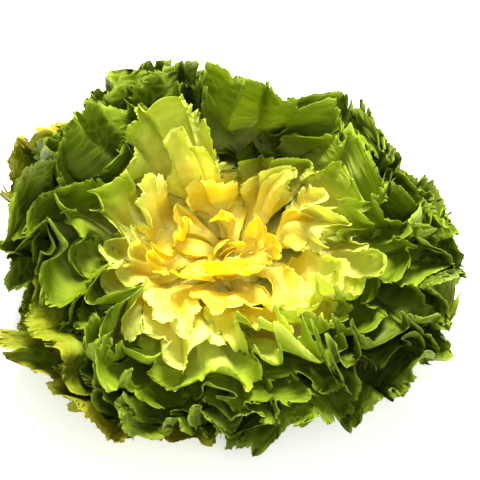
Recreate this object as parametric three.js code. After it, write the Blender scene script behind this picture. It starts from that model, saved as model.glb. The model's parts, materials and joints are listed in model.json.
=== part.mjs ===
// A head of escarole, cut at the stem and standing on the cut, in millimetres, +Z up.
// The origin is the middle of the cut face. The head's front, where its heart leans, is -Y.
//
// A short stump carries the leaves in one golden-angle spiral, from small upright heart leaves to
// long outer leaves that lie on the table. Every leaf is a thin closed sheet on its own curved
// cone around the growing point, so the cones nest and no leaf cuts another.
import * as THREE from "three";

// Driving dimensions.
const LEAF_COUNT = 58;
const HEART_LEAF_COUNT = 16;
const INNER_LEAF_COUNT = 14;
const GOLDEN_ANGLE = 137.508; // degrees from one leaf to the next
const FIRST_AZIMUTH = 200; // degrees, of the youngest leaf

const STUMP_RADIUS = 17;
const STUMP_BEVEL = 1; // the rounded edge of the cut face
const STUMP_SIDES = 28;
const KNOB_RADIUS = 23; // the swollen part of the stump that the leaves grow from
const KNOB_LOWEST = 115; // degrees from upright at which the knob runs into the stump
const KNOB_RINGS = 10;
const GROWING_POINT_HEIGHT = 15; // height of the centre that all the leaves point away from

const HEART_REACH = 58; // growing point to tip, youngest leaf before it is shortened
const OUTER_REACH = 152; // the same, full-grown leaf
const GROWTH_START_AGE = -0.05; // a leaf's place in the spiral, 0 to 1, at which it begins to lengthen
const FULL_GROWN_AGE = 0.62; // the same, from which it has its full reach
const HEART_SINK = 19; // how much shorter the youngest leaf is, which sinks the middle of the heart
const SUNKEN_AGE = 0.3; // age from which nothing is left of that
const REACH_VARIATION = 0.035; // how much longer or shorter single leaves are, as a share
const REACH_STEP = 5.3; // radians from one leaf to the next in that variation
const HEART_LEAN = 3; // degrees from upright of the tip, youngest leaf
const OUTER_LEAN = 82; // the same, oldest leaf, whose foot lies on the table
const LEAN_CURVE = 0.77; // how quickly the leaves open out with age
const MIDDLE_CURL = 29; // degrees more that the foot of a half-grown leaf leans than its tip
const OUTER_CURL = 20; // the same, oldest leaf
const HALF_GROWN_AGE = 0.5; // age at which the curl is strongest
const CURL_LENGTH = 0.42; // share of a leaf, back from its tip, along which it curls up
const FRONT_LEAN = 12; // degrees that the whole heart leans to the front
const LEVEL_LEAN = 97; // lean by which nothing is left of the lean to the front
const FRONT_RAISE = 10; // degrees that young leaves at the front stand more upright than the others
const RAISED_LEAN = [0, 20, 40, 70]; // leans at which that begins, is whole, wanes and ends
const FRONT_SHIFT = 22; // how far the top of the head is pushed to the front
const SHIFT_START = 36; // height at which the push begins
const SHIFT_END = 100; // height from which it is whole
const LEAST_HEIGHT = 3; // softness of the rise of low leaves off the table

// The head's outline isn't round: slow waves, as [crests round the head, share of the reach,
// azimuth of a crest in degrees].
const SWELLS = [
  [1, 0.026, 146],
  [2, 0.046, -27],
  [3, 0.017, -4],
  [4, 0.048, -39],
];

// Leaves that differ from their neighbours, by their place in the spiral: the tallest one, at the
// back, and the short one in front of it. reach is a share, and turn is in degrees.
const HABITS = {
  20: { reach: 0.88, turn: 0 },
  28: { reach: 1.22, turn: -12 },
};

const HEART_HALF_WIDTH = 12;
const HALF_ANGLE = 22; // degrees of the head that an open leaf spans each way
const WIDEST_HALF_ANGLE = 76; // degrees that a heart leaf may wrap each way round the axis
const LEAST_LEAN = 8; // degrees, below which a leaf's width is no longer worked out from its lean
const WIDEST_AT = 0.85; // share of the reach at which the width is set
const STALK_SHARE = 0.14; // half width of the stalk, as a share of the blade's
const STALK_END = 0.12; // share of the length at which the stalk begins to widen
const BLADE_START = 0.72; // share of the length from which the blade has its full width
const TIP_ROUNDING = 0.16; // how far the corners of the tip drop back, as a share of the reach
const TIP_NARROWING = 0.2; // how much narrower the blade is at its tip
const TIP_START = 0.75; // share of the length at which it begins to narrow

const EDGE_THICKNESS = 0.9;
const HEART_EDGE_SHARE = 0.7; // a heart leaf's edge thickness, as a share of an outer leaf's
const OUTER_RIB_THICKNESS = 2.8;
const HEART_RIB_THICKNESS = 1.3;
const STEM_GAP = 0.5; // between a leaf's foot and the stump
const LEAF_GAP = 0.35; // least gap kept between two leaves
const GAP_AT = 0.6; // share of the reach at which the gap is reckoned
const WAVE_ROOM = 0.8; // share of the angle between two leaves that their folds may take

const ROWS = 9; // along a leaf
const COLUMNS = 6; // across a leaf
const SIDE_WAVES = 2.2; // folds along each side of a leaf
const TIP_WAVES = 1.5; // folds across its tip
const SIDE_WAVE_SHARE = 0.62; // of the room for waves, what the sides take; the tip takes the rest
const SIDE_WAVE_START = 0.2; // share of the length at which the folds of the sides begin
const SIDE_WAVE_FULL = 0.7; // share of the length from which they have their full size
const SIDE_PHASE = 1.2; // radians that the folds of each side are off the rib's
const PHASE_STEP = 2.4; // radians that the folds of one leaf are ahead of the next leaf's

const { degToRad: radians, radToDeg: degrees, lerp, smoothstep } = THREE.MathUtils;

// A leaf's shape follows from its age alone: 0 is the youngest, 1 the oldest.
const ageOf = (index) => (index + 0.5) / LEAF_COUNT;
const leanAt = (age) => lerp(HEART_LEAN, OUTER_LEAN, age ** LEAN_CURVE);
const curlAt = (age) =>
  MIDDLE_CURL * smoothstep(age, 0, HALF_GROWN_AGE) -
  (MIDDLE_CURL - OUTER_CURL) * Math.max(0, (age - HALF_GROWN_AGE) / (1 - HALF_GROWN_AGE));
const growthAt = (age) => smoothstep(age, GROWTH_START_AGE, FULL_GROWN_AGE);
const sinkAt = (age) => HEART_SINK * (1 - smoothstep(age, 0, SUNKEN_AGE));

function describeLeaf(index) {
  const age = ageOf(index);
  const growth = growthAt(age);
  const habit = HABITS[index] ?? { reach: 1, turn: 0 };
  const leaf = { age, lean: leanAt(age), curl: curlAt(age) };
  leaf.azimuth = FIRST_AZIMUTH + index * GOLDEN_ANGLE + habit.turn;
  leaf.evenReach = lerp(HEART_REACH, OUTER_REACH, growth) - sinkAt(age);
  leaf.reach = leaf.evenReach * (1 + REACH_VARIATION * Math.sin(REACH_STEP * index));
  leaf.reach *= (1 + growth * swellAt(leaf.azimuth)) * habit.reach;
  leaf.halfWidth = Math.max(
    HEART_HALF_WIDTH,
    girthAt(leaf, WIDEST_AT * leaf.evenReach) * Math.tan(radians(HALF_ANGLE)),
  );
  leaf.ribThickness = lerp(HEART_RIB_THICKNESS, OUTER_RIB_THICKNESS, growth);
  leaf.edgeThickness = lerp(HEART_EDGE_SHARE, 1, growth) * EDGE_THICKNESS;
  leaf.phase = index * PHASE_STEP;
  leaf.wave = waveAngle(leaf);
  return leaf;
}

// How much further the head reaches at an azimuth, as a share.
function swellAt(azimuth) {
  return SWELLS.reduce(
    (sum, [count, share, crest]) => sum + share * Math.cos(count * radians(azimuth - crest)),
    0,
  );
}

// How far the leaf's cone is from the head's axis, at a distance out.
function girthAt(leaf, out) {
  return out * Math.sin(radians(Math.max(leaf.lean, LEAST_LEAN)));
}

// Degrees round the axis that a distance to the side of the rib takes up, at a distance out.
function wrapAngle(leaf, side, out) {
  return WIDEST_HALF_ANGLE * Math.tanh(degrees(side / girthAt(leaf, out)) / WIDEST_HALF_ANGLE);
}

// The degrees that a leaf may wave each way before it meets the next leaf that lies over it.
function waveAngle(leaf) {
  const halfAngle = wrapAngle(leaf, leaf.halfWidth, leaf.evenReach * WIDEST_AT);
  const between = (steps) => Math.abs(((steps * GOLDEN_ANGLE + 180) % 360) - 180);
  const steps = [1, 2, 3, 5, 8].find((count) => between(count) < 2 * halfAngle) ?? 8;
  const gap = leanAt(leaf.age + steps / LEAF_COUNT) - leaf.lean;
  const sheet = degrees((leaf.edgeThickness + LEAF_GAP) / (leaf.evenReach * GAP_AT));
  return Math.max(0, WAVE_ROOM * gap - sheet) / 2;
}

// How many degrees more upright a lean is at an azimuth. Leans keep their order.
function raiseAt(lean, azimuth) {
  const [start, full, wane, end] = RAISED_LEAN;
  const share = smoothstep(lean, start, full) * (1 - smoothstep(lean, wane, end));
  return FRONT_RAISE * share * Math.max(0, -Math.sin(radians(azimuth))) ** 2;
}

// A point at a distance and lean from the growing point. The heart leans to the front, and what
// would reach below the table lies on it.
function place(out, evenLean, azimuth) {
  const lean = evenLean - raiseAt(evenLean, azimuth);
  const point = new THREE.Vector3(
    out * Math.sin(radians(lean)) * Math.cos(radians(azimuth)),
    out * Math.sin(radians(lean)) * Math.sin(radians(azimuth)),
    out * Math.cos(radians(lean)),
  );
  const upright = Math.cos((Math.PI / 2) * Math.min(1, lean / LEVEL_LEAN)) ** 2;
  point.applyAxisAngle(new THREE.Vector3(1, 0, 0), radians(FRONT_LEAN) * upright);
  const height = point.z + GROWING_POINT_HEIGHT;
  point.y -= FRONT_SHIFT * smoothstep(height, SHIFT_START, SHIFT_END);
  point.z = (height + Math.hypot(height, LEAST_HEIGHT)) / 2;
  return point;
}

// Where the middle of the sheet lies: along runs from foot to tip, 0 to 1, and across from side
// to side, -1 to 1.
function bladePoint(leaf, along, across) {
  const foot = KNOB_RADIUS + STEM_GAP;
  const out = foot + (leaf.reach - foot) * along * (1 - TIP_ROUNDING * across ** 2 * along ** 2);
  const blade = lerp(STALK_SHARE, 1, smoothstep(along, STALK_END, BLADE_START));
  const side = across * leaf.halfWidth * blade * (1 - TIP_NARROWING * smoothstep(along, TIP_START, 1));
  const curl = leaf.curl * Math.min(1, (1 - out / leaf.evenReach) / CURL_LENGTH);
  const edge = Math.abs(across) ** 1.5 * smoothstep(along, SIDE_WAVE_START, SIDE_WAVE_FULL);
  const sidePhase = leaf.phase + SIDE_PHASE * Math.sign(across);
  const sides = edge * Math.sin(2 * Math.PI * SIDE_WAVES * along + sidePhase);
  const tip = Math.sin(2 * Math.PI * TIP_WAVES * across + leaf.phase) * along ** 4;
  const wave = leaf.wave * lerp(tip, sides, SIDE_WAVE_SHARE);
  return { out, lean: leaf.lean + curl + wave, azimuth: leaf.azimuth + wrapAngle(leaf, side, out) };
}

// The sheet's thickness: a rib down the middle that thins to the tip, and a thin blade.
function sheetThickness(leaf, along, across) {
  const rib = lerp(leaf.ribThickness, leaf.edgeThickness, along ** 0.8);
  return lerp(leaf.edgeThickness, rib, (1 - across ** 2) ** 2);
}

// A closed sheet: a grid of points on the upper face, the same on the lower face, and a rim.
function leafGeometry(leaf) {
  const positions = [];
  const triangles = [];
  const rowLength = COLUMNS + 1;
  const faceSize = (ROWS + 1) * rowLength;
  for (const face of [-1, 1])
    for (let row = 0; row <= ROWS; row++)
      for (let column = 0; column <= COLUMNS; column++) {
        const along = row / ROWS;
        const across = (2 * column) / COLUMNS - 1;
        const point = bladePoint(leaf, along, across);
        const half = sheetThickness(leaf, along, across) / 2;
        const tilt = degrees(half / point.out) * face;
        positions.push(...place(point.out, point.lean + tilt, point.azimuth));
      }
  const quad = (a, b, c, d) => triangles.push(a, b, c, a, c, d);
  for (let row = 0; row < ROWS; row++)
    for (let column = 0; column < COLUMNS; column++) {
      const a = row * rowLength + column;
      quad(a, a + rowLength, a + rowLength + 1, a + 1);
      quad(faceSize + a, faceSize + a + 1, faceSize + a + rowLength + 1, faceSize + a + rowLength);
    }
  rimOf(rowLength).forEach((a, step, rim) => {
    const b = rim[(step + 1) % rim.length];
    quad(a, b, faceSize + b, faceSize + a);
  });
  const geometry = new THREE.BufferGeometry();
  geometry.setAttribute("position", new THREE.Float32BufferAttribute(positions, 3));
  geometry.setIndex(triangles);
  geometry.computeVertexNormals();
  return geometry;
}

// The grid's edge points in order round the leaf.
function rimOf(rowLength) {
  const last = ROWS * rowLength;
  const foot = Array.from({ length: COLUMNS }, (_, i) => i);
  const right = Array.from({ length: ROWS }, (_, i) => i * rowLength + COLUMNS);
  const tip = Array.from({ length: COLUMNS }, (_, i) => last + COLUMNS - i);
  const left = Array.from({ length: ROWS }, (_, i) => last - i * rowLength);
  return [...foot, ...right, ...tip, ...left];
}

// The stump: a flat cut, a short cylinder and the rounded knob that the leaves grow from.
function stumpGeometry() {
  const knob = Array.from({ length: KNOB_RINGS + 1 }, (_, ring) => {
    const lean = radians(KNOB_LOWEST * (1 - ring / KNOB_RINGS));
    const radius = ring === KNOB_RINGS ? 0 : KNOB_RADIUS * Math.sin(lean);
    return new THREE.Vector2(radius, GROWING_POINT_HEIGHT + KNOB_RADIUS * Math.cos(lean));
  });
  const cut = [
    new THREE.Vector2(0, 0),
    new THREE.Vector2(STUMP_RADIUS - STUMP_BEVEL, 0),
    new THREE.Vector2(STUMP_RADIUS, STUMP_BEVEL),
  ];
  return new THREE.LatheGeometry([...cut, ...knob], STUMP_SIDES).rotateX(Math.PI / 2);
}

// Materials, from the blanched heart to the leaves that grew in full light.
const finish = (color, roughness) =>
  new THREE.MeshStandardMaterial({ color, roughness, metalness: 0, side: THREE.DoubleSide });
const stumpFinish = finish(0xe6e0bd, 0.7);
const OUTER_LEAF_COUNT = LEAF_COUNT - HEART_LEAF_COUNT - INNER_LEAF_COUNT;
const ZONES = [
  { zone: "heart", count: HEART_LEAF_COUNT, material: finish(0xf2d93c, 0.5) },
  { zone: "inner", count: INNER_LEAF_COUNT, material: finish(0xb9cc45, 0.48) },
  { zone: "outer", count: OUTER_LEAF_COUNT, material: finish(0x5e8f1e, 0.45) },
];

const head = new THREE.Group();
const stump = new THREE.Mesh(stumpGeometry(), stumpFinish);
stump.name = "stem_stump";
head.add(stump);

let index = 0;
for (const { zone, count, material } of ZONES)
  for (let number = 1; number <= count; number++) {
    const mesh = new THREE.Mesh(leafGeometry(describeLeaf(index)), material);
    mesh.name = `${zone}_leaf_${String(number).padStart(2, "0")}`;
    head.add(mesh);
    index++;
  }

export default head;
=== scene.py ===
import json
import math

import bpy
import numpy as np
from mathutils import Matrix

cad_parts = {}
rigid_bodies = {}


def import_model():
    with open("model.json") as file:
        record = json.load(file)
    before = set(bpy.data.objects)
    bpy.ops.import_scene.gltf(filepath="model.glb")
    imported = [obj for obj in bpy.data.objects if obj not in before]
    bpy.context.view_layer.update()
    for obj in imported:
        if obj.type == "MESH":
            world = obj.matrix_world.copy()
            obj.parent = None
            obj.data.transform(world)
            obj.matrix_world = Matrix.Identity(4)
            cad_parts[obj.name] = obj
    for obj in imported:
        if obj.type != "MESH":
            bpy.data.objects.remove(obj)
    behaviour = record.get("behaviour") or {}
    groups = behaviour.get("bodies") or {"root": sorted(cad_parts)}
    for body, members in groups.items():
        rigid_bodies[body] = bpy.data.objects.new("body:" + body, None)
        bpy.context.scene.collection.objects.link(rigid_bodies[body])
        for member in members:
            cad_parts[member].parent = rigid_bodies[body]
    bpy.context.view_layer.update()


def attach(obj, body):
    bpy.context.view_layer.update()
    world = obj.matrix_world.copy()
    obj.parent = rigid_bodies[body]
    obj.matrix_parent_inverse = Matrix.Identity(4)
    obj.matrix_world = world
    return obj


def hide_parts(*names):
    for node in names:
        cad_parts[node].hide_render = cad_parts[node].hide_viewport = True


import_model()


# The studio: a plain white table top, one large soft lamp high behind the head and a weak one high
# in front, in a pale room. The camera looks down on the head from above its front.
TABLE_WHITE = (0.92, 0.92, 0.91)
TABLE_ROUGHNESS = 0.6
TABLE_GLOW = 0.40
TABLE_REACH = 3
ROOM_BRIGHTNESS = 0.66
LAMP_AIM = (0, 0, 0.05)
BACK_LAMP = {"place": (0.15, 0.5, 1.45), "size": 0.6, "watts": 76, "tint": (1, 0.98, 0.94)}
FRONT_LAMP = {"place": (0.5, -0.9, 1.3), "size": 1.2, "watts": 10, "tint": (1, 1, 1)}
CAMERA_ELEVATION = 56
CAMERA_DISTANCE = 0.95
CAMERA_TARGET = (0.006, 0.004, 0.047)
CAMERA_LENS = 109


def add_light(name, place, size, watts, tint):
    """A square soft box at a place, turned to face the head."""
    lamp = bpy.data.lights.new(name, "AREA")
    lamp.shape = "SQUARE"
    lamp.size = size
    lamp.energy = watts
    lamp.color = tint
    holder = bpy.data.objects.new(name, lamp)
    bpy.context.collection.objects.link(holder)
    holder.location = place
    away = np.array(place) - np.array(LAMP_AIM)
    flat = math.hypot(away[0], away[1])
    holder.rotation_euler = (math.atan2(flat, away[2]), 0, math.atan2(away[0], -away[1]))


elevation = math.radians(CAMERA_ELEVATION)
lens = bpy.data.cameras.new("studio_camera")
lens.lens = CAMERA_LENS
camera = bpy.data.objects.new("studio_camera", lens)
bpy.context.collection.objects.link(camera)
camera.location = (
    CAMERA_TARGET[0],
    CAMERA_TARGET[1] - CAMERA_DISTANCE * math.cos(elevation),
    CAMERA_TARGET[2] + CAMERA_DISTANCE * math.sin(elevation),
)
camera.rotation_euler = (math.pi / 2 - elevation, 0, 0)
bpy.context.scene.camera = camera

table_mesh = bpy.data.meshes.new("table_top")
table_corners = [(x * TABLE_REACH, y * TABLE_REACH, 0) for x, y in ((-1, -1), (1, -1), (1, 1), (-1, 1))]
table_mesh.from_pydata(table_corners, [], [(0, 1, 2, 3)])
table_top = bpy.data.objects.new("table_top", table_mesh)
bpy.context.collection.objects.link(table_top)
table_paint = bpy.data.materials.new("table_paint")
table_paint.use_nodes = True
table_surface = table_paint.node_tree.nodes["Principled BSDF"]
table_surface.inputs["Base Color"].default_value = (*TABLE_WHITE, 1)
table_surface.inputs["Roughness"].default_value = TABLE_ROUGHNESS
table_surface.inputs["Emission Color"].default_value = (1, 1, 1, 1)
table_surface.inputs["Emission Strength"].default_value = TABLE_GLOW
table_mesh.materials.append(table_paint)

add_light("soft_box_back", **BACK_LAMP)
add_light("soft_box_front", **FRONT_LAMP)
room = bpy.data.worlds.new("pale_room")
room.use_nodes = True
room.node_tree.nodes["Background"].inputs["Color"].default_value = (1, 1, 1, 1)
room.node_tree.nodes["Background"].inputs["Strength"].default_value = ROOM_BRIGHTNESS
bpy.context.scene.world = room
bpy.context.scene.view_settings.view_transform = "Standard"


# The stump: the short stem, cut flat, that the head stands on, and the knob that all the leaves
# grow from. Its flesh is pale and moist, with a ring of vessels round the pith, and the cut face
# has browned a little in the air.
STUMP_FLESH = (0.90, 0.78, 0.16, 1)
STUMP_PITH = (0.93, 0.92, 0.74, 1)
STUMP_BROWNED = (0.50, 0.33, 0.13, 1)
STUMP_ROUGHNESS = 0.5
STUMP_PITH_RADIUS = 0.008
STUMP_VESSEL_RADIUS = 0.012
STUMP_VESSEL_WIDTH = 0.0016
STUMP_CUT_HEIGHTS = (0.0006, 0.0022)  # between which the browned layer ends
STUMP_GRAIN_SCALE = 300.0
STUMP_GRAIN_DETAIL = 4.0
STUMP_GRAIN_SHIFT = 0.002  # how far the grain pushes the rings out
STUMP_RELIEF_STRENGTH = 0.6
STUMP_RELIEF_DEPTH = 0.0006


def feed(tree, socket, value):
    """Sets a socket to a constant, or links another node's output to it."""
    if isinstance(value, (int, float, tuple)):
        socket.default_value = value
    else:
        tree.links.new(value, socket)


def calc(tree, kind, *values):
    """A Math node's output."""
    node = tree.nodes.new("ShaderNodeMath")
    node.operation = kind
    for socket, value in zip(node.inputs, values):
        feed(tree, socket, value)
    return node.outputs[0]


def rest_of(tree, value):
    """What is left of 1 after a value."""
    return calc(tree, "SUBTRACT", 1.0, value)


def step_between(tree, value, low, high):
    """A smooth step of a value from 0 at low to 1 at high."""
    node = tree.nodes.new("ShaderNodeMapRange")
    node.interpolation_type = "SMOOTHSTEP"
    for name, number in (("Value", value), ("From Min", low), ("From Max", high)):
        feed(tree, node.inputs[name], number)
    return node.outputs[0]


def blend(tree, share, start, end):
    """A mix of two colours, which are a Mix node's sockets 6 and 7."""
    node = tree.nodes.new("ShaderNodeMix")
    node.data_type = "RGBA"
    for number, value in ((0, share), (6, start), (7, end)):
        feed(tree, node.inputs[number], value)
    return node.outputs[2]


def cloud(tree, place, scale, detail):
    """A noise texture's value over a place."""
    node = tree.nodes.new("ShaderNodeTexNoise")
    feed(tree, node.inputs["Vector"], place)
    feed(tree, node.inputs["Scale"], scale)
    feed(tree, node.inputs["Detail"], detail)
    return node.outputs["Fac"]


def relief(tree, height, strength, distance):
    """A Bump node's normal."""
    node = tree.nodes.new("ShaderNodeBump")
    feed(tree, node.inputs["Strength"], strength)
    feed(tree, node.inputs["Distance"], distance)
    feed(tree, node.inputs["Height"], height)
    return node.outputs[0]


def stump_material():
    """Pale flesh, whiter in the pith, browner on the cut face and along the ring of vessels."""
    material = bpy.data.materials.new("stump_flesh")
    material.use_nodes = True
    tree = material.node_tree
    surface = tree.nodes["Principled BSDF"]
    place = tree.nodes.new("ShaderNodeTexCoord").outputs["Object"]
    split = tree.nodes.new("ShaderNodeSeparateXYZ")
    feed(tree, split.inputs[0], place)
    x, y, z = split.outputs
    away = calc(tree, "SQRT", calc(tree, "ADD", calc(tree, "POWER", x, 2.0), calc(tree, "POWER", y, 2.0)))
    grain = cloud(tree, place, STUMP_GRAIN_SCALE, STUMP_GRAIN_DETAIL)
    away = calc(tree, "MULTIPLY_ADD", grain, STUMP_GRAIN_SHIFT, away)
    ring = calc(tree, "ABSOLUTE", calc(tree, "SUBTRACT", away, STUMP_VESSEL_RADIUS))
    ring = rest_of(tree, step_between(tree, ring, 0.0, STUMP_VESSEL_WIDTH))
    cut = rest_of(tree, step_between(tree, z, *STUMP_CUT_HEIGHTS))
    pith = step_between(tree, away, STUMP_PITH_RADIUS, STUMP_VESSEL_RADIUS)
    colour = blend(tree, pith, STUMP_PITH, STUMP_FLESH)
    browning = calc(tree, "MULTIPLY_ADD", ring, 0.5, calc(tree, "MULTIPLY", grain, 0.5))
    browned = calc(tree, "MULTIPLY", cut, browning)
    feed(tree, surface.inputs["Base Color"], blend(tree, browned, colour, STUMP_BROWNED))
    surface.inputs["Roughness"].default_value = STUMP_ROUGHNESS
    bumps = relief(tree, grain, STUMP_RELIEF_STRENGTH, STUMP_RELIEF_DEPTH)
    feed(tree, surface.inputs["Normal"], bumps)
    return material


stump_look = stump_material()
for node_object in bpy.data.objects:
    if node_object.name.startswith("stem_stump"):
        node_object.data.materials.clear()
        node_object.data.materials.append(stump_look)


# The heart leaves: sixteen narrow golden straps round the sunken growing point, each a trough
# with a fleshy rib that flares and bends outwards at a softly toothed tip. All leaves grow from
# the stump in one spiral, and each lies on a cone of its own, so that the sheets nest.
LEAF_COUNT = 58
HEART_LEAF_COUNT = 16
GOLDEN_ANGLE = 137.508  # degrees from one leaf to the next
FIRST_AZIMUTH = 200  # degrees, of the youngest leaf
KNOB_RADIUS = 0.023  # the swollen part of the stump that the leaves grow from
FOOT_GAP = 0.0005  # between the knob and a leaf's foot
GROWING_POINT_HEIGHT = 0.015  # height of the centre that all the leaves point away from

# a leaf's age is its place in the spiral, 0 to 1, and its reach goes from growing point to tip
HEART_REACH = 0.058  # youngest leaf, before it is shortened
OUTER_REACH = 0.152  # full-grown leaf
GROWING_AGES = (-0.05, 0.62)  # between which the leaves lengthen
HEART_SINK = 0.019  # how much shorter the youngest leaf is, which sinks the middle of the heart
SUNKEN_AGE = 0.3  # from which nothing is left of that
REACH_VARIATION = 0.035  # how much longer or shorter single leaves are, as a share
REACH_STEP = 5.3  # radians from one leaf to the next in that variation
SWELLS = ((1, 0.026, 146), (2, 0.046, -27), (3, 0.017, -4), (4, 0.048, -39))  # waves, share, crest
HEART_LEAN = 3  # degrees from upright, youngest leaf
OUTER_LEAN = 82  # the same, oldest leaf
LEAN_CURVE = 0.77  # how quickly the leaves open out with age
MIDDLE_CURL = 29  # degrees more that the foot of a half-grown leaf leans than its tip
OUTER_CURL = 20  # the same, oldest leaf
HALF_GROWN_AGE = 0.5  # at which the curl is strongest
CURL_LENGTH = 0.42  # share of a leaf, back from its tip, along which it curls
HEART_HALF_WIDTH = 0.0075
HEART_HALF_ANGLE = 15  # degrees of the head that a strap spans each way
HALF_ANGLE = 25  # the same, open leaf
OPENING_AGES = (0.15, 0.5)  # between which straps become open leaves
LEAST_LEAN = 8  # degrees, below which a leaf's width is no longer worked out from its lean
WIDEST_AT = 0.85  # share of the reach at which the width is set
NEIGHBOURS = (1, 2, 3, 5)  # steps in the spiral to the leaves behind one, each nearer in azimuth
NARROW_AGE = 0.3  # below which some of those miss the leaf
NEIGHBOUR_ANGLE = 1.75  # half angles of the leaf, within which they don't
HALFWAY_STEPS = 4  # a leaf of the second spiral is as old as the leaf so many steps further on
HALFWAY_TURN = 10.03  # degrees, which turn it to the side opposite that leaf
HALFWAY_NUMBERS = 100  # added to its number
HALFWAY_PHASE = 2  # radians that it is ahead in the variation of reach

# what sets single leaves apart, by number: how far they have yellowed, how much paler they are,
# shares by which they reach further, are wider or fold more, and degrees that they are turned
YELLOWED = {42: 0.35, 50: 0.8, 52: 0.7, 55: 0.7}
HABITS = {
    14: {"pale": 0.06},
    17: {"pale": 0.14},
    18: {"pale": 0.10},
    20: {"reach": 0.88},
    22: {"pale": 0.10},
    28: {"reach": 1.22, "folds": 0.3, "turn": -12},
    43: {"reach": 0.96},
    48: {"reach": 1.06},
    52: {"reach": 1.05},
    55: {"reach": 1.05, "turn": 10, "wide": 0.7},
    56: {"reach": 0.95},
    109: {"pale": 0.08},
    112: {"reach": 0.85},
    117: {"pale": 0.06},
    118: {"pale": 0.06},
    120: {"reach": 0.75},
    123: {"reach": 0.9},
    125: {"reach": 0.9},
}


def smooth(value, low, high):
    """A smooth step from 0 at low to 1 at high."""
    share = np.clip((value - low) / (high - low), 0, 1)
    return share * share * (3 - 2 * share)


def mix(start, end, share):
    """From start to end by a share."""
    return start + (end - start) * share


def unit(vectors):
    """Vectors of the same directions and length 1."""
    return vectors / np.maximum(np.linalg.norm(vectors, axis=-1, keepdims=True), 1e-12)


def wander(distance, wavelength, chance):
    """A smooth random curve along a distance, mostly from -1 to 1: the sum of three sine waves of
    about one wavelength, each with a phase by chance."""
    total = 0
    for stretch in (0.73, 1.0, 1.61):
        total = total + np.sin(2 * np.pi * distance / (wavelength * stretch) + chance.uniform(0, 6.28))
    return total / 2.2


def lean_at(age):
    """Degrees that a leaf of an age leans out from upright."""
    return mix(HEART_LEAN, OUTER_LEAN, np.maximum(age, 0) ** LEAN_CURVE)


def curl_at(age):
    """Degrees that a leaf of an age curls: a smooth rise to the half-grown age, then a straight
    fall."""
    past = max(0, age / HALF_GROWN_AGE - 1)
    return MIDDLE_CURL * float(smooth(age, 0, HALF_GROWN_AGE)) - (MIDDLE_CURL - OUTER_CURL) * past


def gap_behind(age, half_angle):
    """Degrees of lean from a leaf to the next one that lies against it from outside. For an open
    leaf that is the last of its neighbours, for a strap the first that is near enough."""
    steps = NEIGHBOURS[-1]
    if age < NARROW_AGE:
        apart = {count: abs(((count * GOLDEN_ANGLE + 180) % 360) - 180) for count in NEIGHBOURS}
        near = [count for count in NEIGHBOURS if apart[count] < NEIGHBOUR_ANGLE * half_angle]
        steps = (near or [steps])[0]
    return float(lean_at(age + steps / LEAF_COUNT)) - float(lean_at(age))


def describe_leaf(index, halfway=False):
    """A leaf's sizes in metres and degrees, all from its place in the spiral. The leaves halfway
    between two others make a second spiral, half a turn from the first."""
    age = (index + 0.5 + (HALFWAY_STEPS if halfway else 0)) / LEAF_COUNT
    growth = float(smooth(age, *GROWING_AGES))
    number = index + (HALFWAY_NUMBERS if halfway else 0)
    habit = HABITS.get(number, {})
    azimuth = FIRST_AZIMUTH + index * GOLDEN_ANGLE
    leaf = {"number": number, "age": age, "growth": growth}
    leaf["folds"] = habit.get("folds", 1)
    leaf["pale"] = habit.get("pale", 0)
    leaf["yellowed"] = YELLOWED.get(number, 0)
    leaf["front"] = max(0, -math.sin(math.radians(azimuth))) ** 2
    leaf["azimuth"] = azimuth + (HALFWAY_TURN if halfway else 0) + habit.get("turn", 0)
    leaf["lean"] = float(lean_at(age))
    leaf["curl"] = curl_at(age)
    leaf["opened"] = float(smooth(age, *OPENING_AGES))
    reach = mix(HEART_REACH, OUTER_REACH, growth) - HEART_SINK * float(1 - smooth(age, 0, SUNKEN_AGE))
    girth = reach * WIDEST_AT * math.sin(math.radians(max(leaf["lean"], LEAST_LEAN)))
    spread = mix(HEART_HALF_ANGLE, HALF_ANGLE, max(leaf["opened"], leaf["front"]))
    leaf["half_width"] = max(HEART_HALF_WIDTH, girth * math.tan(math.radians(spread)))
    leaf["half_width"] *= habit.get("wide", 1)
    leaf["gap"] = gap_behind(age, math.degrees(leaf["half_width"] / girth))
    leaf["even_reach"] = reach
    reach *= 1 + REACH_VARIATION * math.sin(index * REACH_STEP + (HALFWAY_PHASE if halfway else 0))
    facing = math.radians(leaf["azimuth"])
    swells = [share * math.cos(count * (facing - math.radians(crest))) for count, share, crest in SWELLS]
    leaf["reach"] = reach * ((1 + sum(swells) * growth) * habit.get("reach", 1))
    return leaf


STALK_HALF_WIDTHS = (0.6, 0.16)  # shares of the blade's, youngest leaf and from the growth below on
STALK_GROWTH = 0.5
WIDENING = (0.1, 0.75)  # shares of the length between which the stalk widens to the blade
TIP_START = 0.7  # share of the length
TIP_LENGTH = 0.3
TIP_BLUNTNESS = 2.4
MARGIN_POINTS = 900


def margin(leaf, around):
    """Where the flat leaf's edge lies, for around from -1 (foot, left) past 0 (tip) to 1 (foot,
    right), in equal steps along the edge: half width = narrow stalk widening smoothly to the
    blade, then a rounded tip. Returns x, y and the distance along the edge from the tip."""
    length = leaf["reach"] - KNOB_RADIUS
    share = 1 - np.linspace(1, 0, MARGIN_POINTS) ** 2
    tip = np.clip((share - TIP_START) / TIP_LENGTH, 0, 1)
    stalk = mix(*STALK_HALF_WIDTHS, smooth(leaf["growth"], 0, STALK_GROWTH))
    half = leaf["half_width"] * mix(stalk, 1, smooth(share, *WIDENING)) * np.sqrt(1 - tip**TIP_BLUNTNESS)
    steps = np.hypot(np.diff(half), np.diff(share * length))
    run = np.concatenate([[0], np.cumsum(steps)])
    at = (1 - np.abs(around)) * run[-1]
    x = np.sign(around) * np.interp(at, run, half)
    y = np.interp(at, run, share * length)
    return x, y, around * run[-1]


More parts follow.
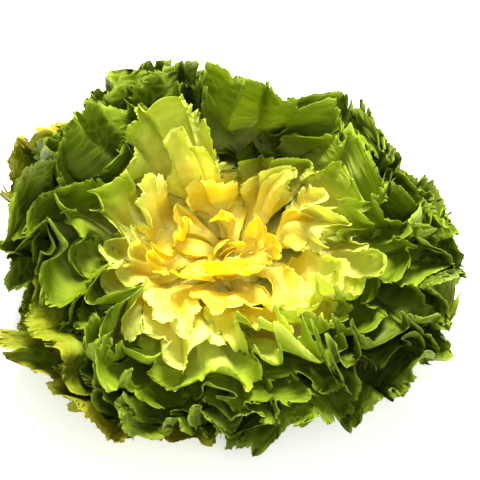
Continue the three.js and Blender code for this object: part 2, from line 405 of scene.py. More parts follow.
VEIN_ROOT = 0.40  # height where a side vein leaves the rib, as a share of that where it ends
LEAST_VEIN = 0.004
TOOTHED_PART = (0.15, 0.4)  # shares of the length between which teeth and lobes set in
TOOTHED_AGES = (0.05, 0.35)  # between which they get their full depth
TOOTH_LENGTH = 0.0042
TOOTH_DEPTH = 0.0014
TOOTH_ROUNDNESS = 0.8
TOOTH_WANDER = 0.6  # how many teeth they drift from even steps, over the wavelength below
TOOTH_WANDER_LENGTH = 0.021
TOOTH_CHANGE = 0.6  # share by which their depth changes, over the wavelength below
TOOTH_CHANGE_LENGTH = 0.011
HEART_TOOTH_SHARE = 0.8  # a strap's tooth depth, as a share of an open leaf's
MOST_TOOTH = 0.15  # of the side vein's length
LOBE_LENGTH = 0.026
LOBE_DEPTH = 0.006
LOBE_WANDER = 1.5  # radians
LOBE_WANDER_LENGTH = 0.05
LOBE_MEAN = 0.6  # share of their depth that the lobes have on average
LOBE_CHANGE = 0.4  # share that it changes by, over the wavelength below
LOBE_CHANGE_LENGTH = 0.03
HEART_LOBE_SHARE = 0.15
MOST_LOBE = 0.2


def flat_leaf(leaf, around, outward, edge_way, chance):
    """The flat leaf's x and y, as a fan: rows run round the margin and columns from the rib, 0, to
    the margin, 1, along the side veins. Notches between lobes shorten a vein by the cube of the
    distance out, and the bites between teeth by its sixth power. edge_way is how far each row is
    from the tip along the folded edge, which spaces both; without it the margin is whole. Returns
    also the columns' way out, and each row's height, run and heading along the margin."""
    edge_x, edge_y, edge_run = margin(leaf, around)
    length = leaf["reach"] - KNOB_RADIUS
    root = VEIN_ROOT * edge_y
    vein = np.maximum(np.hypot(edge_x, edge_y - root), LEAST_VEIN)
    full = float(smooth(leaf["age"], *TOOTHED_AGES))
    way = edge_run if edge_way is None else edge_way
    tooth = (way / TOOTH_LENGTH + TOOTH_WANDER * wander(way, TOOTH_WANDER_LENGTH, chance)) % 1
    bite = TOOTH_DEPTH * mix(HEART_TOOTH_SHARE, 1, full) * np.sin(np.pi * tooth) ** TOOTH_ROUNDNESS
    bite = bite * (1 + TOOTH_CHANGE * wander(way, TOOTH_CHANGE_LENGTH, chance))
    lobe = np.abs(np.sin(np.pi * way / LOBE_LENGTH + LOBE_WANDER * wander(way, LOBE_WANDER_LENGTH, chance)))
    notch = LOBE_DEPTH * mix(HEART_LOBE_SHARE, 1, full) * (1 - lobe)
    notch = notch * (LOBE_MEAN + LOBE_CHANGE * wander(way, LOBE_CHANGE_LENGTH, chance))
    start, end = TOOTHED_PART
    open_edge = smooth(edge_y, start * length, end * length) * (edge_way is not None) / vein
    bite = (np.minimum(bite, MOST_TOOTH * vein) * open_edge)[:, None]
    notch = (np.minimum(notch, MOST_LOBE * vein) * open_edge)[:, None]
    q = outward[None, :] * np.ones((len(around), 1))
    reach_q = q * (1 - notch * q**3 - bite * q**6)
    x = reach_q * edge_x[:, None]
    y = root[:, None] + (edge_y - root)[:, None] * reach_q
    heading = unit(np.stack([np.gradient(edge_x), np.gradient(edge_y)], -1))
    return x, y, q, edge_y, edge_run, heading


FOLD_HEIGHTS = (0.40, 0.70)  # shares of the gap behind a leaf, younger and older leaf
FOLD_HEIGHT_AGES = (0.35, 0.55)
FOLD_STEEPNESS = (0.34, 0.37)  # height for each metre of length, younger and older leaf
FOLD_STEEPNESS_AGES = (0.4, 0.6)
SHORTEST_FOLD = 0.018
FOLDED_PART = (0.12, 0.5)  # shares of the length between which the folds set in
FOLD_CHANGE = 0.35  # share by which their height changes
FOLD_CHANGE_LENGTH = 2.6  # fold lengths over which it does
FOLD_WANDER = 2.2  # radians that they are off from even steps
FOLD_WANDER_LENGTH = 4  # fold lengths over which that changes
FOLD_RANGE = (0.8, 1.3)  # shares by which whole leaves are folded less or more
HEART_FOLD_SHARE = 0.2  # a strap's fold height, as a share of an open leaf's
FOLD_ROLL = 0.68
BROAD_HEIGHTS = (0.12, 0.3)  # of the broad folds, as shares of the gap, strap and open leaf
BROAD_LENGTH = 2.7  # fold lengths


def fold_margin(leaf, q, edge_run, rise, chance):
    """The folds' lift off the sheet and roll along the margin: two cosine waves along the margin,
    fine and broad, that grow with the power 4 and 1.5 of the distance out. The roll is the sine
    of twice the fine wave's angle, times its height squared, which turns the folds into loops."""
    size = leaf["reach"] * math.radians(leaf["gap"])
    height = mix(*FOLD_HEIGHTS, float(smooth(leaf["age"], *FOLD_HEIGHT_AGES))) * size
    steepness = mix(*FOLD_STEEPNESS, float(smooth(leaf["age"], *FOLD_STEEPNESS_AGES)))
    wavelength = max(height / steepness, SHORTEST_FOLD)
    change = wander(edge_run, FOLD_CHANGE_LENGTH * wavelength, chance)
    strength = (1 + FOLD_CHANGE * change)[:, None] * rise
    shift = wander(edge_run, FOLD_WANDER_LENGTH * wavelength, chance)
    angle = (2 * np.pi * edge_run / wavelength + FOLD_WANDER * shift)[:, None]
    swing = height * mix(HEART_FOLD_SHARE, 1, leaf["opened"]) * leaf["folds"]
    swing = swing * chance.uniform(*FOLD_RANGE) * strength * q**4
    broad = mix(*BROAD_HEIGHTS, leaf["opened"]) * size * rise * q**1.5
    broad_angle = (2 * np.pi * edge_run / (BROAD_LENGTH * wavelength) + chance.uniform(0, 6.28))[:, None]
    lift = swing * np.cos(angle) + broad * np.cos(broad_angle)
    return lift, FOLD_ROLL * swing**2 / wavelength * np.sin(2 * angle), wavelength


FRONT_LEAN = 12  # degrees that the whole heart leans to the front
LEVEL_LEAN = 97  # lean by which nothing is left of the lean to the front
FRONT_RAISE = 10  # degrees that young leaves at the front stand more upright than the others
RAISED_LEANS = (0, 20, 28, 52)  # at which that begins, is whole, wanes and ends
FRONT_SHIFT = 0.022  # how far the top of the head is pushed to the front
SHIFT_HEIGHTS = (0.036, 0.100)  # at which the push begins and is whole
LEAST_HEIGHT = 0.003  # softness of the rise of low leaves off the table


def place(out, lean, azimuth):
    """The point at a distance, lean and azimuth (degrees) from the growing point. The front leaves
    stand more upright, the heart is turned to the front, and the lowest are pressed up from the
    table."""
    start, full, wane, end = RAISED_LEANS
    front = np.maximum(0, -np.sin(np.radians(azimuth))) ** 2
    lean = lean - FRONT_RAISE * front * smooth(lean, start, full) * (1 - smooth(lean, wane, end))
    tilt = np.radians(lean)
    facing = np.radians(azimuth)
    x, y, z = np.sin(tilt) * np.cos(facing), np.sin(tilt) * np.sin(facing), np.cos(tilt)
    turn = np.radians(FRONT_LEAN) * np.cos(np.pi / 2 * np.clip(lean / LEVEL_LEAN, 0, 1)) ** 2
    y, z = y * np.cos(turn) - z * np.sin(turn), y * np.sin(turn) + z * np.cos(turn)
    height = out * z + GROWING_POINT_HEIGHT
    shift = FRONT_SHIFT * smooth(height, *SHIFT_HEIGHTS)
    return np.stack([out * x, out * y - shift, (height + np.hypot(height, LEAST_HEIGHT)) / 2], -1)


def random_waves(seed, count, shortest, longest):
    """Plane waves in random directions: their wave vectors, phases, and a push square to each."""
    chance = np.random.default_rng(seed)
    direction = unit(chance.normal(size=(count, 3)))
    push = unit(np.cross(direction, chance.normal(size=(count, 3))))
    vectors = 2 * np.pi * direction / chance.uniform(shortest, longest, count)[:, None]
    return vectors, chance.uniform(0, 2 * np.pi, count), push * math.sqrt(2 / count)


GATHER_COUNT = 24  # waves that run round the head
GATHER_SIZE = 0.0090
GATHERED_PART = (0.5, 1)  # shares of the reach between which the gathering sets in
GATHERED_LEANS = (12, 40)
GATHER_STEPS = 6
GATHER_SIDEWAYS = 0.6  # sideways push, as a share of the push in lean
LEAST_GIRTH = 0.3
GATHER_ROUNDS = (14, 36)  # folds of one wave round the head
GATHER_CLIMB = 6
gather_chance = np.random.default_rng(5)
GATHER_WAVES = (
    gather_chance.integers(*GATHER_ROUNDS, GATHER_COUNT),
    gather_chance.normal(0, GATHER_CLIMB, GATHER_COUNT),
    gather_chance.uniform(0, 2 * np.pi, GATHER_COUNT),
    gather_chance.uniform(0, 2 * np.pi, GATHER_COUNT),
)
DRIFT_WAVES = random_waves(seed=11, count=16, shortest=0.07, longest=0.16)
DRIFT_SIZE = 0.009
DRIFT_STEPS = 6
DRIFT_DISTANCES = (0.028, 0.075)  # from the growing point, between which the drift sets in
CALM_HEIGHT = 0.03  # below which it moves up and down less
CRUMPLE_WAVES = random_waves(seed=3, count=30, shortest=0.05, longest=0.10)
CRUMPLE_SIZE = 0.005
CRUMPLE_STEPS = 8
CRUMPLE_DISTANCES = (0.03, 0.055)
CRUMPLE_CENTRE_Y = -0.012
CRUMPLE_RADII = (0.03, 0.07)  # of the heart, between which the crumpling fades
CRUMPLE_FADE = 0.75


def gather(lean, azimuth, strength):
    """Folds that neighbouring leaves share: lean and azimuth are carried in small steps along a
    current of waves that run round the head, so that sheets fold together and never cross."""
    tilt, facing = np.radians(lean), np.radians(azimuth)
    rounds, climbs, starts, turns = GATHER_WAVES
    strength = strength * smooth(lean, *GATHERED_LEANS)
    step = strength / GATHER_STEPS * math.sqrt(2 / GATHER_COUNT)
    for _ in range(GATHER_STEPS):
        phase = facing[..., None] * rounds + tilt[..., None] * climbs + starts
        tilt = tilt + np.sin(phase).sum(-1) * step
        sideways = GATHER_SIDEWAYS * np.sin(phase + turns).sum(-1) * step
        facing = facing + sideways / np.maximum(np.sin(tilt), LEAST_GIRTH)
    return np.degrees(tilt), np.degrees(facing)


def current(points, waves, size):
    """The push of a sum of plane waves at each point."""
    vectors, phases, pushes = waves
    return np.sin(points @ vectors.T + phases) @ pushes * size


def drift(points):
    """Carries points along one slow random current in small steps and then a finer one that
    crumples the heart, so that sheets bend together and never cross. Nothing moves near the
    stump, and the slow one doesn't move the lowest up or down."""
    moved = points.reshape(-1, 3).copy()
    for _ in range(DRIFT_STEPS):
        push = current(moved, DRIFT_WAVES, DRIFT_SIZE) / DRIFT_STEPS
        away = np.linalg.norm(moved - (0, 0, GROWING_POINT_HEIGHT), axis=1)
        push[:, 2] *= smooth(moved[:, 2], 0, CALM_HEIGHT)
        moved += push * smooth(away, *DRIFT_DISTANCES)[:, None]
    for _ in range(CRUMPLE_STEPS):
        push = current(moved, CRUMPLE_WAVES, CRUMPLE_SIZE) / CRUMPLE_STEPS
        beside = np.hypot(moved[:, 0], moved[:, 1] - CRUMPLE_CENTRE_Y)
        away = np.linalg.norm(moved - (0, 0, GROWING_POINT_HEIGHT), axis=1)
        fade = 1 - CRUMPLE_FADE * smooth(beside, *CRUMPLE_RADII)
        moved += push * (smooth(away, *CRUMPLE_DISTANCES) * fade)[:, None]
    return moved.reshape(points.shape)


def sheet_normals(points):
    """Unit normals of a fan of points: the cross product of its two directions. A point on the rib
    belongs to a row on each side, and takes the sum of both."""
    normal = np.cross(np.gradient(points, axis=0), np.gradient(points, axis=1))
    middle = points.shape[0] // 2
    rib = unit(normal[:, 1])
    normal[:, 0] = rib + rib[::-1]
    normal[middle, 0] = rib[middle]
    return unit(normal)


STRAP_AGES = (0.1, 0.36)  # between which straps become sheets on a cone
STRAP_ARCH = -10  # degrees that a strap's upper end bends inwards; below 0 it bends outwards
STRAP_FRONT_ARCH = 16  # degrees more of that at the front
STRAP_ARCH_SPREAD = 14
STRAP_ARCH_PART = (0.35, 1.05)  # shares of the reach between which it bends
STRAP_TWIST = 22
STRAP_TWIST_PART = (0.2, 1)
STRAP_TROUGH = 0.55
STRAP_TROUGH_SPREAD = 0.4
STRAP_FLOOR = 0.004  # half width of the trough's flat floor
WIDEST_HALF_ANGLE = 76  # degrees that a leaf may wrap each way round the axis
CRIMPS_PER_FOLD = 2.9
CRIMP_HEIGHTS = (0.10, 0.03)  # for each metre of crimp length, open leaf and strap
CRIMP_CHANGE = 0.5
CRIMP_WANDER = 1.6
CRIMP_CHANGE_LENGTH = 0.03
LOWEST_SHEET = 0.0006
SHAPE_SEED = 500


def strap(leaf, out, x, lean, chance):
    """A heart leaf: its rib lies on the cone, and its sides stand off it in a trough, straight out
    sideways and then in towards the heart in a hyperbola, with a slow twist."""
    line = place(out, lean, np.full(out.shape, leaf["azimuth"]))
    facing = math.radians(leaf["azimuth"])
    turned = smooth(out / leaf["even_reach"], *STRAP_TWIST_PART)
    twist = facing + math.radians(STRAP_TWIST) * chance.normal() * turned
    inward = np.hypot(x, STRAP_FLOOR) - STRAP_FLOOR
    inward = inward * STRAP_TROUGH * (1 + STRAP_TROUGH_SPREAD * chance.normal())
    side = np.stack([-np.sin(twist), np.cos(twist), np.zeros(x.shape)], -1)
    back = np.stack([-np.cos(twist), -np.sin(twist), np.zeros(x.shape)], -1)
    return line + side * x[..., None] + back * inward[..., None]


def blade_surface(leaf, around, outward, edge_way=None):
    """The leaf's middle surface: the flat leaf, folded at its margin and laid on its cone, where
    its foot and tip curl, then carried along with its neighbours. A heart leaf is a strap instead.
    Last, a fine cosine wave crimps the edge by the eighth power of the distance out."""
    chance = np.random.default_rng(SHAPE_SEED + leaf["number"])
    x, y, q, edge_y, edge_run, heading = flat_leaf(leaf, around, outward, edge_way, chance)
    length = leaf["reach"] - KNOB_RADIUS
    start, end = FOLDED_PART
    rise = smooth(edge_y, start * length, end * length)[:, None]
    lift, roll, wavelength = fold_margin(leaf, q, edge_run, rise, chance)
    x = x + roll * heading[:, 0:1]
    y = y + roll * heading[:, 1:2]

    out = KNOB_RADIUS + FOOT_GAP + y
    young = float(1 - smooth(leaf["age"], *STRAP_AGES))
    arch = STRAP_ARCH + STRAP_FRONT_ARCH * leaf["front"] + STRAP_ARCH_SPREAD * chance.normal()
    curl = leaf["curl"] * np.clip((1 - out / leaf["even_reach"]) / CURL_LENGTH, -1, 1)
    curl = curl - young * arch * smooth(out / leaf["even_reach"], *STRAP_ARCH_PART)
    girth = out * math.sin(math.radians(max(leaf["lean"], LEAST_LEAN)))
    turn = WIDEST_HALF_ANGLE * np.tanh(np.degrees(x / girth) / WIDEST_HALF_ANGLE)
    lifted = leaf["lean"] + np.degrees(lift / out)
    strength = GATHER_SIZE * smooth(out / leaf["reach"], *GATHERED_PART) / out
    lean, azimuth = gather(lifted, leaf["azimuth"] + turn, strength)
    points = place(out, lean + curl, azimuth)
    if young > 0:
        points = mix(points, strap(leaf, out, x, lifted + curl, chance), young)
    points = drift(points)

    crimp_length = wavelength / CRIMPS_PER_FOLD
    crimp = mix(*CRIMP_HEIGHTS, young) * crimp_length * q**8 * rise
    crimp = crimp * (1 + CRIMP_CHANGE * wander(edge_run, CRIMP_CHANGE_LENGTH, chance))[:, None]
    shift = CRIMP_WANDER * wander(edge_run, CRIMP_CHANGE_LENGTH, chance)
    crimp_angle = (2 * np.pi * edge_run / crimp_length + shift)[:, None]
    points = points + sheet_normals(points) * (crimp * np.cos(crimp_angle))[..., None]
    points[..., 2] = np.maximum(points[..., 2], LOWEST_SHEET)
    return points, x, y, q, edge_run


TRIAL_ROWS = 300  # of the coarse sheet, on each side of the tip
LONGEST_STEP = 8  # median steps, the most that one step of the coarse sheet counts for
EVENNESS = 0.25  # of a mean step, added to each, so that rows don't crowd in the folds
EDGE_POINTS = 4  # margin points to a span, for the teeth
COLUMNS = 10
COLUMN_CROWDING = 1.15  # power that brings the columns closer together near the margin


def spread_rows(leaf, half_count):
    """Rows round the margin, as many on each side of the tip, at nearly even steps along the folded
    edge: its length is first measured on a coarse sheet without teeth. Returns around, and how far
    each row is from the tip along the edge."""
    trial = np.linspace(0, 1, TRIAL_ROWS + 1)
    both = np.concatenate([-trial[:0:-1], trial])
    edge = blade_surface(leaf, both, np.array([0, 0.5, 1.0]))[0][:, -1]
    steps = np.linalg.norm(np.diff(edge, axis=0), axis=1)
    steps = np.minimum(steps, LONGEST_STEP * np.median(steps))
    way = (steps[TRIAL_ROWS:] + steps[TRIAL_ROWS - 1 :: -1]) / 2
    even = way + EVENNESS * way.mean()
    row_at = np.concatenate([[0], np.cumsum(even)])
    around = np.interp(np.linspace(0, row_at[-1], half_count + 1), row_at, trial)
    edge_way = np.interp(around, trial, np.concatenate([[0], np.cumsum(way)]))
    return np.concatenate([-around[:0:-1], around]), np.concatenate([-edge_way[:0:-1], edge_way])


def fan_faces(rows, spans):
    """The faces of a leaf's two sheets and of the rim that joins them, as arrays of point numbers:
    first those with four corners, then the strips along the margin, which have seven."""
    number = np.arange(rows * COLUMNS).reshape(rows, COLUMNS)
    middle = rows // 2
    number[middle + 1 :, 0] = number[:middle, 0][::-1]
    span = number[::EDGE_POINTS]
    a, b = span[:-1, :-2], span[1:, :-2]
    c, d = span[1:, 1:-1], span[:-1, 1:-1]
    top = np.stack([a, d, c, b], -1).reshape(-1, 4)
    steps = np.arange(EDGE_POINTS + 1) + EDGE_POINTS * np.arange(spans)[:, None]
    strip = np.concatenate([span[:-1, -2:-1], number[steps, -1], span[1:, -2:-1]], axis=1)
    under = rows * COLUMNS
    rim = np.concatenate([span[0, :-1], number[:, -1], span[-1, -2:0:-1]])
    rim_next = np.roll(rim, -1)
    side = np.stack([rim, rim + under, rim_next + under, rim_next], -1)[rim != rim_next]
    quads = np.concatenate([top, top[:, ::-1] + under, side])
    return quads, np.concatenate([strip, strip[:, ::-1] + under])


RIB_HALF_WIDTHS = (0.0022, 0.0062)  # at the foot, youngest and full-grown leaf
RIB_NARROWING = 0.85
RIB_LEAST_HALF_WIDTH = 0.0004
RIB_END = (0.55, 0.95)  # shares of the length between which the rib runs out
RIB_THICKNESSES = (0.0012, 0.0045)  # at the foot, youngest and full-grown leaf
RIB_THINNING = 0.7
EDGE_THICKNESS = 0.00024
SHEET_THICKNESS = 0.0006
LOWEST_UNDERSIDE = 0.0002
LEAST_THICKNESS = 0.0001
RIPE_AGES = (0.12, 0.63)  # between which the leaves turn from gold to green
RIPEST = 1.03
SHADED_SIDE = 225  # azimuth at which the leaves have turned green later
SHADE_DELAY = 0.05
FOOT_PALENESS = 0.42
FOOT_PART = (0.25, 0.95)  # of the way up and out, between which that is lost
FOOT_RIPENING = 0.4  # share of it that the oldest leaf has lost
UP_SHARE = 0.7  # what the way up the leaf counts in that
OUT_SHARE = 0.3  # what the way out to the margin counts
GREEN_SPREAD = 0.08  # of single leaves
RIB_BASE = 0.5  # share of the rib's colour in the tissue at the foot
RIB_BASE_PART = (0.3, 0.85)
# share of the way out at which the painted highlight along the margin begins
RIM_HIGHLIGHT_START = 0.98
PATTERN_STEP = 0.3  # from one leaf's place in the patterns to the next one's
TINT_SEED = 900


def tissue_layers(leaf, x, y, q, edge_run, rib):
    """Three layers that go with the points for the material: tissue (greenness, rib, and the rim mask that
    places a painted highlight), blade (the flat leaf's own place) and veins (distance along the margin, out
    along the vein, yellowing). Greenness = a step over age, less a pale foot, plus a chance for each leaf."""
    chance = np.random.default_rng(TINT_SEED + leaf["number"])
    up = np.clip(y / (leaf["reach"] - KNOB_RADIUS), 0, 1)
    along = up * UP_SHARE + OUT_SHARE * q
    shade = max(0, math.cos(math.radians(leaf["azimuth"] - SHADED_SIDE)))
    ripe = smooth(leaf["age"] - SHADE_DELAY * shade, *RIPE_AGES) * RIPEST
    foot = FOOT_PALENESS * (1 - smooth(along, *FOOT_PART)) * (1 - FOOT_RIPENING * leaf["age"])
    green = ripe - foot + GREEN_SPREAD * chance.normal() - leaf["pale"]
    base = RIB_BASE * (1 - smooth(along, *RIB_BASE_PART))
    nought = np.zeros(x.shape)
    return {
        "tissue": (green, rib + (1 - rib) * base, smooth(q, RIM_HIGHLIGHT_START, 1)),
        "blade": (x, y + PATTERN_STEP * leaf["number"], nought),
        "veins": (edge_run[:, None] + nought, q, leaf["yellowed"] + nought),
    }


def blade_mesh(name, leaf, spans):
    """Two faces, half the thickness above and below the middle surface, closed by a rim. The rib is
    a bell curve across the leaf that thickens its underside. The rows inside are one to a span,
    and the margin has four points to a span."""
    around, edge_way = spread_rows(leaf, spans * EDGE_POINTS // 2)
    outward = 1 - (1 - np.linspace(0, 1, COLUMNS)) ** COLUMN_CROWDING
    points, x, y, q, edge_run = blade_surface(leaf, around, outward, edge_way)
    normal = sheet_normals(points)
    length = leaf["reach"] - KNOB_RADIUS
    up = np.clip(y / length, 0, 1)
    rib_half = mix(*RIB_HALF_WIDTHS, leaf["growth"]) * (1 - RIB_NARROWING * up) + RIB_LEAST_HALF_WIDTH
    start, end = RIB_END
    rib = np.exp(-((x / rib_half) ** 2)) * (1 - smooth(y, start * length, end * length))
    thick = mix(EDGE_THICKNESS, SHEET_THICKNESS, 1 - q)
    flesh = rib * mix(*RIB_THICKNESSES, leaf["growth"]) * (1 - RIB_THINNING * up)
    upper = points + normal * (thick / 2)[..., None]
    lower = points - normal * (thick / 2 + flesh)[..., None]
    lower[..., 2] = np.maximum(lower[..., 2], LOWEST_UNDERSIDE)
    upper[..., 2] = np.maximum(upper[..., 2], lower[..., 2] + LEAST_THICKNESS)

    quads, strips = fan_faces(len(around), spans)
    used, renumbered = np.unique(np.concatenate([quads.ravel(), strips.ravel()]), return_inverse=True)
    quads = renumbered[: quads.size].reshape(quads.shape)
    strips = renumbered[quads.size :].reshape(strips.shape)
    corners = np.concatenate([upper.reshape(-1, 3), lower.reshape(-1, 3)])
    mesh = bpy.data.meshes.new(name)
    mesh.from_pydata(corners[used].tolist(), [], quads.tolist() + strips.tolist())
    for layer_name, parts in tissue_layers(leaf, x, y, q, edge_run, rib).items():
        flat = np.stack(parts, -1).reshape(-1, 3)
        flat = np.concatenate([flat, flat])[used].astype(np.float32)
        layer = mesh.attributes.new(layer_name, "FLOAT_VECTOR", "POINT")
        layer.data.foreach_set("vector", flat.ravel())
    mesh.shade_smooth()
    return mesh


# greenness 0 is the golden hollow of the heart, 1 the oldest leaf's margin
TISSUE_COLOURS = [
    (0.0, (0.96, 0.80, 0.05)),
    (0.15, (0.98, 0.94, 0.28)),
    (0.32, (0.80, 0.84, 0.17)),
    (0.5, (0.43, 0.54, 0.03)),
    (0.7, (0.20, 0.30, 0.004)),
    (1.0, (0.07, 0.12, 0.001)),
]
YOUNG_RIB = (0.98, 0.94, 0.36, 1)
GROWN_RIB = (0.70, 0.76, 0.24, 1)
VEIN_PALE = (0.60, 0.70, 0.10, 1)
# painted highlight: pale lime mixed into the thin rim, in place of light catching and shining through the
# edge
RIM_HIGHLIGHT_COLOUR = (0.62, 0.76, 0.08, 1)
YELLOWED_TISSUE = (0.42, 0.36, 0.02, 1)
BROWNED_TISSUE = (0.30, 0.18, 0.02, 1)
RIB_STRENGTH = 0.7  # shares of their colours in the tissue's
# share of the painted rim highlight
RIM_HIGHLIGHT_STRENGTH = 0.2
VEIN_STRENGTH = 0.3
NET_STRENGTH = 0.18
BROWN_STRENGTH = 0.6
MOTTLE_SCALE = 90.0
MOTTLE_DETAIL = 4.0
MOTTLE = 0.5  # steps of greenness between the palest and the darkest spots
VEIN_SPACING = 0.016
VEIN_WANDER = 0.024
VEIN_WANDER_SCALE = 45.0
VEIN_WIDTH = 0.18  # share of their spacing, at the rib
VEIN_NARROWING = -0.13  # what is added to that at the margin
VEINED_PART = (0.2, 0.95)  # of the way out, between which the side veins fade
NET_SCALE = 170
NET_STEEPNESS = 4.0
PATCH_SCALE = 28.0
PATCH_OUTWARD = 0.35  # how much more the margin yellows than the rib
PATCH_LEVEL = -0.3  # added all over
YELLOW_PATCH = (0.3, 0.62)
BROWN_PATCH = (0.62, 0.85)
NET_HEIGHT = 0.6
VEIN_HEIGHT = -0.5
BLISTER_HEIGHT = 2.2
BLISTER_SCALE = 170.0
CLOUD_DETAIL = 3.0
TISSUE_RELIEF_STRENGTH = 0.7
TISSUE_RELIEF_DEPTH = 0.0008


def build_tissue_group():
    """Leaf tissue. Colour: a ramp over greenness with mottling, paler side veins and net, a paler
    rib, a painted highlight along the rim, and yellowing in patches. Height: blisters between sunken veins."""
    tree = bpy.data.node_groups.new("leaf_tissue", "ShaderNodeTree")
    for name, kind in (
        ("Green", "NodeSocketFloat"),
        ("Rib", "NodeSocketFloat"),
        ("Rim", "NodeSocketFloat"),
        ("Blade", "NodeSocketVector"),
        ("Along Margin", "NodeSocketFloat"),
        ("Along Vein", "NodeSocketFloat"),
        ("Yellowing", "NodeSocketFloat"),
    ):
        tree.interface.new_socket(name=name, in_out="INPUT", socket_type=kind)
    tree.interface.new_socket(name="Colour", in_out="OUTPUT", socket_type="NodeSocketColor")
    tree.interface.new_socket(name="Height", in_out="OUTPUT", socket_type="NodeSocketFloat")
    green, rib, rim, blade, run, outward, yellowing = tree.nodes.new("NodeGroupInput").outputs[:7]

    mottle = cloud(tree, blade, MOTTLE_SCALE, MOTTLE_DETAIL)
    green = calc(tree, "ADD", green, calc(tree, "MULTIPLY_ADD", mottle, MOTTLE, -MOTTLE / 2))
    ramp = tree.nodes.new("ShaderNodeValToRGB")
    while len(ramp.color_ramp.elements) < len(TISSUE_COLOURS):
        ramp.color_ramp.elements.new(0.5)
    for element, (at, colour) in zip(ramp.color_ramp.elements, TISSUE_COLOURS):
        element.position = at
        element.color = (*colour, 1)
    feed(tree, ramp.inputs[0], green)

    bend = cloud(tree, blade, VEIN_WANDER_SCALE, CLOUD_DETAIL)
    bend = calc(tree, "MULTIPLY_ADD", bend, VEIN_WANDER, run)
    between = calc(tree, "FRACT", calc(tree, "DIVIDE", bend, VEIN_SPACING))
    off_middle = calc(tree, "ABSOLUTE", calc(tree, "SUBTRACT", between, 0.5))
    width = calc(tree, "MULTIPLY_ADD", outward, VEIN_NARROWING, VEIN_WIDTH)
    vein = rest_of(tree, step_between(tree, calc(tree, "SUBTRACT", 0.5, off_middle), 0.0, width))
    inner = rest_of(tree, step_between(tree, outward, *VEINED_PART))
    vein_share = calc(tree, "MULTIPLY", calc(tree, "MULTIPLY", vein, VEIN_STRENGTH), inner)

    cells = tree.nodes.new("ShaderNodeTexVoronoi")
    cells.feature = "DISTANCE_TO_EDGE"
    cells.inputs["Scale"].default_value = NET_SCALE
    feed(tree, cells.inputs["Vector"], blade)
    net = calc(tree, "MINIMUM", 1.0, calc(tree, "MULTIPLY", cells.outputs["Distance"], NET_STEEPNESS))
    net_share = calc(tree, "MULTIPLY", rest_of(tree, net), NET_STRENGTH)

    colour = blend(tree, calc(tree, "ADD", vein_share, net_share), ramp.outputs[0], VEIN_PALE)
    # painted highlight along the rim
    colour = blend(tree, calc(tree, "MULTIPLY", rim, RIM_HIGHLIGHT_STRENGTH), colour, RIM_HIGHLIGHT_COLOUR)
    pale = blend(tree, calc(tree, "MINIMUM", green, 1.0), YOUNG_RIB, GROWN_RIB)
    colour = blend(tree, calc(tree, "MULTIPLY", rib, RIB_STRENGTH), colour, pale)
    spread = calc(tree, "MULTIPLY_ADD", outward, PATCH_OUTWARD, PATCH_LEVEL)
    patch = calc(tree, "ADD", cloud(tree, blade, PATCH_SCALE, CLOUD_DETAIL), spread)
    sick = calc(tree, "MULTIPLY", yellowing, step_between(tree, patch, *YELLOW_PATCH))
    colour = blend(tree, sick, colour, YELLOWED_TISSUE)
    brown = calc(tree, "MULTIPLY", sick, step_between(tree, patch, *BROWN_PATCH))
    colour = blend(tree, calc(tree, "MULTIPLY", brown, BROWN_STRENGTH), colour, BROWNED_TISSUE)

    height = calc(tree, "MULTIPLY_ADD", net, NET_HEIGHT, calc(tree, "MULTIPLY", vein_share, VEIN_HEIGHT))
    blisters = cloud(tree, blade, BLISTER_SCALE, CLOUD_DETAIL)
    height = calc(tree, "MULTIPLY_ADD", blisters, BLISTER_HEIGHT, height)
    result = tree.nodes.new("NodeGroupOutput")
    feed(tree, result.inputs["Colour"], colour)
    feed(tree, result.inputs["Height"], height)
    return tree


tissue_group = build_tissue_group()


def leaf_material(name, glow, gloss, roughness):
    """Leaf tissue on a Principled surface, mixed with light that comes through from behind."""
    material = bpy.data.materials.new(name)
    material.use_nodes = True
    tree = material.node_tree
    surface = tree.nodes["Principled BSDF"]
    tissue = tree.nodes.new("ShaderNodeGroup")
    tissue.node_tree = tissue_group
    for layer_name, sockets in (
        ("tissue", ("Green", "Rib", "Rim")),
        ("veins", ("Along Margin", "Along Vein", "Yellowing")),
    ):
        layer = tree.nodes.new("ShaderNodeAttribute")
        layer.attribute_name = layer_name
        split = tree.nodes.new("ShaderNodeSeparateXYZ")
        feed(tree, split.inputs[0], layer.outputs["Vector"])
        for socket, part in zip(sockets, split.outputs):
            feed(tree, tissue.inputs[socket], part)
    blade = tree.nodes.new("ShaderNodeAttribute")
    blade.attribute_name = "blade"
    feed(tree, tissue.inputs["Blade"], blade.outputs["Vector"])
    feed(tree, surface.inputs["Base Color"], tissue.outputs["Colour"])
    surface.inputs["Roughness"].default_value = roughness
    surface.inputs["Specular IOR Level"].default_value = gloss
    bumps = relief(tree, tissue.outputs["Height"], TISSUE_RELIEF_STRENGTH, TISSUE_RELIEF_DEPTH)
    feed(tree, surface.inputs["Normal"], bumps)
    through = tree.nodes.new("ShaderNodeBsdfTranslucent")
    feed(tree, through.inputs["Color"], tissue.outputs["Colour"])
    both = tree.nodes.new("ShaderNodeMixShader")
    both.inputs[0].default_value = glow
    feed(tree, both.inputs[1], surface.outputs[0])
    feed(tree, both.inputs[2], through.outputs[0])
    feed(tree, tree.nodes["Material Output"].inputs["Surface"], both.outputs[0])
    return material


def grow(name, leaf, spans, look):
    """Makes a leaf's piece, with its material, and lets it ride with the head."""
    mesh = blade_mesh(name, leaf, spans)
    mesh.materials.append(look)
    blade = bpy.data.objects.new(name, mesh)
    bpy.context.collection.objects.link(blade)
    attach(blade, "root")
    return blade


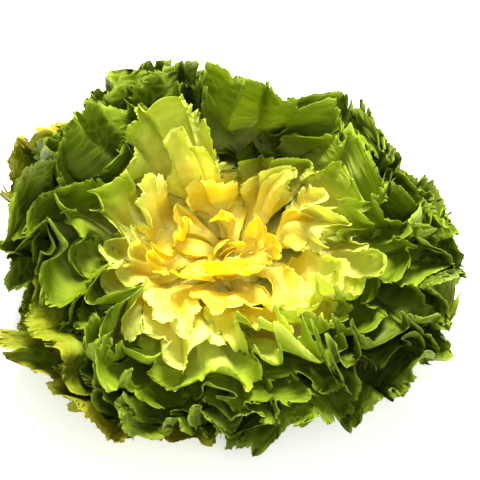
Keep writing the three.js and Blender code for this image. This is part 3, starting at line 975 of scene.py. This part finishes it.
HEART_SPANS = 100
heart_look = leaf_material("heart_tissue", glow=0.55, gloss=0.10, roughness=0.5)
for count in range(1, HEART_LEAF_COUNT + 1):
    leaf = describe_leaf(count - 1)
    blade = grow(f"heart_blade_{count:02d}", leaf, HEART_SPANS, heart_look)
    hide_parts(f"heart_leaf_{count:02d}")


# The inner leaves: fourteen broader blades round the heart, lime at the foot and green at the
# ruffled margin, with a pale flat rib.
INNER_LEAF_COUNT = 14
INNER_SPANS = 180
inner_look = leaf_material("inner_tissue", glow=0.36, gloss=0.08, roughness=0.5)
for count in range(1, INNER_LEAF_COUNT + 1):
    leaf = describe_leaf(HEART_LEAF_COUNT + count - 1)
    blade = grow(f"inner_blade_{count:02d}", leaf, INNER_SPANS, inner_look)
    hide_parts(f"inner_leaf_{count:02d}")


# The outer leaves: twenty-eight wide, dark green blades that lie out to the table and turn up at a
# deeply folded margin. Four of them have yellowed.
OUTER_LEAF_COUNT = LEAF_COUNT - HEART_LEAF_COUNT - INNER_LEAF_COUNT
OUTER_SPANS = 230
outer_look = leaf_material("outer_tissue", glow=0.20, gloss=0.05, roughness=0.55)
for count in range(1, OUTER_LEAF_COUNT + 1):
    leaf = describe_leaf(HEART_LEAF_COUNT + INNER_LEAF_COUNT + count - 1)
    blade = grow(f"outer_blade_{count:02d}", leaf, OUTER_SPANS, outer_look)
    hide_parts(f"outer_leaf_{count:02d}")


# The leaves between: a second spiral of leaves, nineteen golden and sixteen green, that fill the
# clefts between the others. They are too thin and too close for solids of their own.
BETWEEN_LEAF_COUNT = 35
GOLDEN_BETWEEN_COUNT = 19
GOLDEN_BETWEEN_SPANS = 100
GREEN_BETWEEN_SPANS = 170
for count in range(1, BETWEEN_LEAF_COUNT + 1):
    leaf = describe_leaf(count - HALFWAY_STEPS, halfway=True)
    name = f"between_blade_{count:02d}"
    if count <= GOLDEN_BETWEEN_COUNT:
        grow(name, leaf, GOLDEN_BETWEEN_SPANS, heart_look)
    else:
        grow(name, leaf, GREEN_BETWEEN_SPANS, inner_look)
